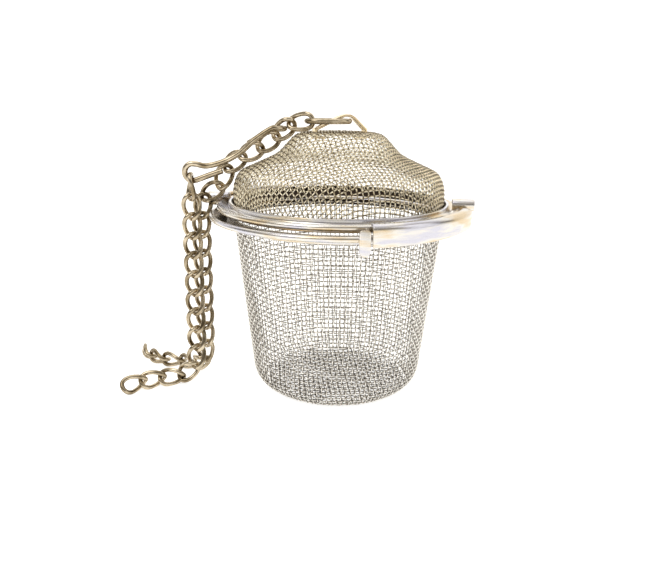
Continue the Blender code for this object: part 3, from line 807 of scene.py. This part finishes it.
class INFUSER_OT_lid(bpy.types.Operator):
    """Weave the dome and press the lid's rim, finger tabs and loop"""
    bl_idname = "infuser.lid"
    bl_label = "Lid"

    def execute(self, context):
        basket, lid, lock, weave, _, finish = sizes()
        _, lid_bottom, dome_base, crown_top, _ = heights()
        wire = woven_steel("lid_wire", (finish.lid_dip_shade, finish.lid_weave, finish.lid_highlight))
        # the lid's crossings carry the full painted highlight
        runs = draped_runs(Surface(dome_profile(weave.inset)), weave, weave.lid_turn, 1.0)
        mesh = woven_mesh(runs, weave, wire)
        add_piece("lid_weave", mesh, wire, "lid", "woven_steel", "lid_mesh")

        sheet = basket.sheet
        bore = basket.mouth_radius + basket.grip
        bead = (lid.rim_radius - basket.bead, lid_bottom + basket.bead)
        bm = bmesh.new()
        skirt_foot = lid_bottom - lid.skirt
        profile = [(bore, skirt_foot), (bore + sheet, skirt_foot), (bore + sheet, lid_bottom)]
        profile += arc(bead, basket.bead, -90.0, 130.0, 14)
        profile += [(bead[0] - 2 * basket.bead, dome_base)]
        profile += arc((bore + 2 * sheet, dome_base + sheet), sheet, 270.0, 180.0, 4)
        profile += [(bore + sheet, dome_base + basket.collar), (bore, dome_base + basket.collar)]
        add_turned(bm, profile)
        ear_low = lid_bottom + sheet / 5
        reach = lid.rim_radius + lid.ear
        ear = [(bead[0], ear_low), (reach, ear_low), (reach, ear_low + sheet), (bead[0], ear_low + sheet)]
        roll = (0.0, ear_low + sheet / 2 + lid.tab_radius)
        curl = strip(arc(roll, lid.tab_radius, -90.0, -350.0, 20), lid.tab_sheet)
        for turn in SIDES:
            add_turned(bm, ear, math.degrees(lid.ear_start) + turn, math.degrees(lid.ear_end) + turn)
            place = Matrix.Rotation(lid.tab_angle + math.radians(turn), 4, "Z")
            add_prism(bm, curl, place, -(reach + lid.tab_reach), -(bore + 2 * sheet))
        band = pressed_mesh(bm, lock.edge)
        add_piece("lid_band", band, rim_steel(bore), "lid", "polished_steel", "lid_rim")

        half = lid.loop_span / 2
        under = crown_top - lid.loop_depth - lid.loop_sheet / 2
        top = crown_top + lid.loop_rise - lid.loop_sheet / 2
        line = []
        for side in (-1, 1):
            knee = Vector((side * half, crown_top + lid.loop_knee))
            brow = Vector((lid.loop_lean + side * lid.loop_top / 2, top))
            leg = [Vector((side * (half - lid.loop_foot), under)), Vector((side * half, under)), knee,
                   knee.lerp(brow, 0.85), brow - Vector((side * lid.loop_crease, 0.0))]
            line += leg if side < 0 else reversed(leg)
        bm = bmesh.new()
        add_prism(bm, strip(line, lid.loop_sheet), Matrix.Rotation(lid.loop_turn, 4, "Z"),
                  -lid.loop_width / 2, lid.loop_width / 2)
        straw = steel("loop_strip", (finish.rim_warm, finish.loop), finish.rim_gloss, (300.0,) * 3,
                      (700.0,) * 3)
        add_piece("lid_bail", pressed_mesh(bm, lock.edge), straw, "lid", "polished_steel", "lid_loop")
        return {"FINISHED"}


def dome_profile(inset):
    """The dome's line from its centre down to the rim, set in from the outside."""
    basket, lid, *_ = sizes()
    _, lid_bottom, dome_base, crown_top, _ = heights()
    shoulder = Vector((lid.shoulder_radius, dome_base + lid.shoulder_rise))
    waist = Vector((lid.waist_radius, dome_base + lid.waist_rise))
    brow = Vector((lid.brow_radius, crown_top - lid.brow_drop))
    drum = basket.mouth_radius - lid.shoulder_radius
    points = [Vector((basket.mouth_radius, lid_bottom + basket.sheet / 2))]
    for r, z in arc((0.0, 0.0), 1.0, 0.0, 80.0, 5):
        points.append(Vector((shoulder.x + r * drum, shoulder.y + (z - 1.0) * lid.drum_curve)))
    points += [shoulder.lerp(waist, 0.45), waist, waist.lerp(brow, 0.5), brow]
    points.append(Vector((lid.crown_radius, crown_top)))
    points = smooth_path(points, 4)
    line = [Vector((0.0, crown_top - inset))]
    for i in range(len(points) - 1, -1, -1):
        along = points[min(i + 1, len(points) - 1)] - points[max(i - 1, 0)]
        line.append(points[i] - Vector((along.y, -along.x)).normalized() * inset)
    return [(p.x, p.y) for p in line]


def node_frame(node):
    """Middle and axes of a link's solid: its length, its width, and square to both."""
    mesh = frame["nodes"][node].data
    spots = [vert.co.copy() for vert in mesh.vertices]
    middle = sum(spots, Vector()) / len(spots)
    spread = Matrix(((0.0,) * 3,) * 3)
    for spot in spots:
        arm = spot - middle
        for r in range(3):
            for c in range(3):
                spread[r][c] += arm[r] * arm[c]
    first = main_axis(spread, Vector((0.3, 0.5, 0.8)))
    left = spread - outer(first) * first.dot(spread @ first)
    second = main_axis(left, Vector((0.8, -0.5, 0.2)))
    return middle, first, second


def outer(v):
    return Matrix([[a * b for b in v] for a in v])


def main_axis(spread, start):
    axis = start.normalized()
    for _ in range(200):
        axis = (spread @ axis).normalized()
    return axis


def bent_link(long, wide, wire, twist, material):
    """One link along +X, with each end turned by the twist."""
    seed = bpy.data.meshes.new("seed")
    return grown(link_tree(), seed, {"Length": long, "Width": wide, "Wire": wire, "Near Twist": -twist,
                                     "Far Twist": twist, "Steps": LINK_STEPS, "Sides": LINK_SIDES,
                                     "Material": material})


def place_link(mesh, middle, along, across):
    """Moves a link's mesh, made along +X, to its place."""
    across = (across - along * across.dot(along)).normalized()
    turn = Matrix((along, across, along.cross(across))).transposed().to_4x4()
    mesh.transform(Matrix.Translation(middle) @ turn)


class INFUSER_OT_chain(bpy.types.Operator):
    """Bend the ring and every curb link of both strands"""
    bl_idname = "infuser.chain"
    bl_label = "Chain"

    def execute(self, context):
        chain = context.scene.infuser_chain
        bright = chain_steel()
        ring = bent_link(chain.ring_length, chain.ring_width, chain.ring_wire, 0.0, bright)
        place_link(ring, *node_frame("chain_ring"))
        add_piece("oval_ring", ring, bright, "ring", "chain_steel", "chain_ring")
        for body in sorted(frame["bodies"]):
            if "_link_" not in body:
                continue
            middle, along, across = node_frame(body)
            if along.dot(middle - Vector(JOINTS[f"{body}_swing"]["pos_m"])) < 0:
                along = -along
            twist = chain.link_twist
            if body == "chain_link_01":
                twist = chain.link_twist / 2
            elif body == "hook_link_01":
                twist = -chain.link_twist / 2
            link = bent_link(chain.link_length, chain.link_width, chain.link_wire, twist, bright)
            place_link(link, middle, along, across)
            add_piece(f"curb_{body}", link, bright, body, "chain_steel", body)
        return {"FINISHED"}


class INFUSER_OT_hook(bpy.types.Operator):
    """Bend the S-hook from wire"""
    bl_idname = "infuser.hook"
    bl_label = "S-hook"

    def execute(self, context):
        basket, chain = context.scene.infuser_basket, context.scene.infuser_chain
        bright = chain_steel()
        catch = Vector(JOINTS["hook_swing"]["pos_m"])
        half = chain.hook_bend / 2
        points = [catch + Vector((-chain.hook_stub, half, -chain.hook_stub_drop)),
                  catch + Vector((-chain.hook_stub / 2, half, -chain.hook_stub_drop / 4))]
        points += [catch + Vector((x, y, 0.0)) for x, y in arc((-half, 0.0), half, 90.0, -90.0, 6)]
        reach = basket.flange_radius + chain.hook_overhang + catch.x
        shank = [catch + Vector((-part * reach, -half - 0.06 * part * reach, -drop * reach))
                 for part, drop in HOOK_SHANK]
        eye = shank.pop()
        points += shank
        points += [eye + Vector((x, 0.0, z)) for x, z in arc((0.0, 0.0), chain.eye_width / 2, 70.0, 270.0, 5)]
        points += [eye + Vector((part * chain.eye_length, 0.0, up * chain.eye_width))
                   for part, up in ((0.45, -0.18), (0.85, 0.10))]
        mesh = wire_mesh(smooth_path(points, 6), chain.hook_wire, bright)
        add_piece("cup_hook", mesh, bright, "hook", "chain_steel", "s_hook")
        return {"FINISHED"}


class INFUSER_OT_stage(bpy.types.Operator):
    """Set up the white sweep, soft lights and camera"""
    bl_idname = "infuser.stage"
    bl_label = "Stage"

    def execute(self, context):
        scene = context.scene
        bm = bmesh.new()
        profile = [(-0.9, 0.0)] + arc((0.35, 0.25), 0.25, -90.0, 0.0, 12) + [(0.6, 1.2)]
        rows = [[bm.verts.new((x, y, z)) for y, z in profile] for x in (-1.5, 1.5)]
        for i in range(len(profile) - 1):
            bm.faces.new((rows[0][i], rows[1][i], rows[1][i + 1], rows[0][i + 1]))
        bmesh.ops.recalc_face_normals(bm, faces=bm.faces)
        mesh = bpy.data.meshes.new("sweep")
        bm.to_mesh(mesh)
        bm.free()
        mesh.shade_smooth()
        mesh.materials.append(sweep_paper())
        sweep = bpy.data.objects.new("sweep", mesh)
        scene.collection.objects.link(sweep)

        for name, place, aim, size, power in (
                ("key", (-0.25, -0.25, 0.45), (0.0, 0.0, 0.02), (0.30, 0.30), 0.7),
                ("fill", (0.40, -0.12, 0.25), (0.0, 0.0, 0.02), (0.25, 0.35), 0.3),
                ("top", (0.0, 0.08, 0.55), (0.0, 0.0, 0.0), (0.5, 0.4), 0.5)):
            lamp = bpy.data.lights.new(name, "AREA")
            lamp.shape = "RECTANGLE"
            lamp.size, lamp.size_y = size
            lamp.energy = power
            light = bpy.data.objects.new(name, lamp)
            light.location = place
            light.rotation_euler = (Vector(aim) - Vector(place)).to_track_quat("-Z", "Y").to_euler()
            scene.collection.objects.link(light)

        scene.world = studio_world()

        camera = bpy.data.objects.new("camera", bpy.data.cameras.new("camera"))
        place, aim = Vector((0.0, -0.10684, 0.04816)), Vector((0.0, 0.0, 0.022))
        look = (aim - place).to_track_quat("-Z", "Y").to_matrix().to_4x4()
        camera.matrix_world = Matrix.Translation(place) @ look @ Matrix.Rotation(math.radians(0.9), 4, "Z")
        camera.data.lens = 36.06
        camera.data.sensor_width = 36.0
        camera.data.shift_x = -0.0198
        camera.data.shift_y = -0.0559
        camera.data.clip_start = 0.005
        scene.collection.objects.link(camera)
        scene.camera = camera
        scene.view_settings.view_transform = "Standard"
        return {"FINISHED"}


def studio_world():
    """A studio that is bright overhead, pale at the horizon and dark between them."""
    world = bpy.data.worlds.new("studio")
    world.use_nodes = True
    nodes, links = world.node_tree.nodes, world.node_tree.links
    place = nodes.new("ShaderNodeTexCoord")
    parts = nodes.new("ShaderNodeSeparateXYZ")
    ramp = nodes.new("ShaderNodeValToRGB")
    stops = ((0.16, (0.90, 0.88, 0.85, 1.0)), (0.26, (0.07, 0.06, 0.05, 1.0)),
             (0.85, (0.80, 0.77, 0.71, 1.0)))
    ramp.color_ramp.elements.new(0.5)
    for element, (position, shade) in zip(ramp.color_ramp.elements, stops):
        element.position = position
        element.color = shade
    links.new(place.outputs["Generated"], parts.inputs["Vector"])
    links.new(parts.outputs["Z"], ramp.inputs["Fac"])
    links.new(ramp.outputs["Color"], nodes["Background"].inputs["Color"])
    return world


def sweep_paper():
    """White paper that stays white to the eye and in reflections, and keeps the shadow."""
    material = bpy.data.materials.new("sweep_paper")
    material.use_nodes = True
    nodes, links = material.node_tree.nodes, material.node_tree.links
    nodes.clear()
    output = nodes.new("ShaderNodeOutputMaterial")
    paper = nodes.new("ShaderNodeBsdfDiffuse")
    paper.inputs["Color"].default_value = (0.82, 0.82, 0.82, 1.0)
    glow = nodes.new("ShaderNodeEmission")
    rays = nodes.new("ShaderNodeLightPath")
    either = nodes.new("ShaderNodeMath")
    either.operation = "MAXIMUM"
    every = nodes.new("ShaderNodeMath")
    every.operation = "MAXIMUM"
    level = nodes.new("ShaderNodeMath")
    level.operation = "MULTIPLY"
    level.inputs[1].default_value = 0.75
    both = nodes.new("ShaderNodeAddShader")
    links.new(rays.outputs["Is Camera Ray"], either.inputs[0])
    links.new(rays.outputs["Is Glossy Ray"], either.inputs[1])
    links.new(either.outputs[0], every.inputs[0])
    links.new(rays.outputs["Is Transmission Ray"], every.inputs[1])
    links.new(every.outputs[0], level.inputs[0])
    links.new(level.outputs[0], glow.inputs["Strength"])
    links.new(paper.outputs["BSDF"], both.inputs[0])
    links.new(glow.outputs["Emission"], both.inputs[1])
    links.new(both.outputs["Shader"], output.inputs["Surface"])
    return material


class INFUSER_PT_panel(bpy.types.Panel):
    """Values and steps of the infuser"""
    bl_idname = "INFUSER_PT_panel"
    bl_label = "Tea Infuser"
    bl_space_type = "VIEW_3D"
    bl_region_type = "UI"
    bl_category = "Infuser"

    def draw(self, context):
        for operator in STEPS:
            self.layout.operator(operator.bl_idname)
        for name, group in GROUPS.items():
            box = self.layout.box()
            box.label(text=name.replace("infuser_", "").capitalize())
            for value in group.__annotations__:
                box.prop(getattr(context.scene, name), value)


STEPS = (INFUSER_OT_stage, INFUSER_OT_basket, INFUSER_OT_lid, INFUSER_OT_chain, INFUSER_OT_hook)
CLASSES = (*GROUPS.values(), *STEPS, INFUSER_PT_panel)


def register():
    for item in CLASSES:
        bpy.utils.register_class(item)
    for name, group in GROUPS.items():
        setattr(bpy.types.Scene, name, bpy.props.PointerProperty(type=group))


def unregister():
    for name in GROUPS:
        delattr(bpy.types.Scene, name)
    for item in reversed(CLASSES):
        bpy.utils.unregister_class(item)


def main():
    register()
    for step in STEPS:
        group, call = step.bl_idname.split(".")
        getattr(getattr(bpy.ops, group), call)()


if __name__ == "__main__":
    main()
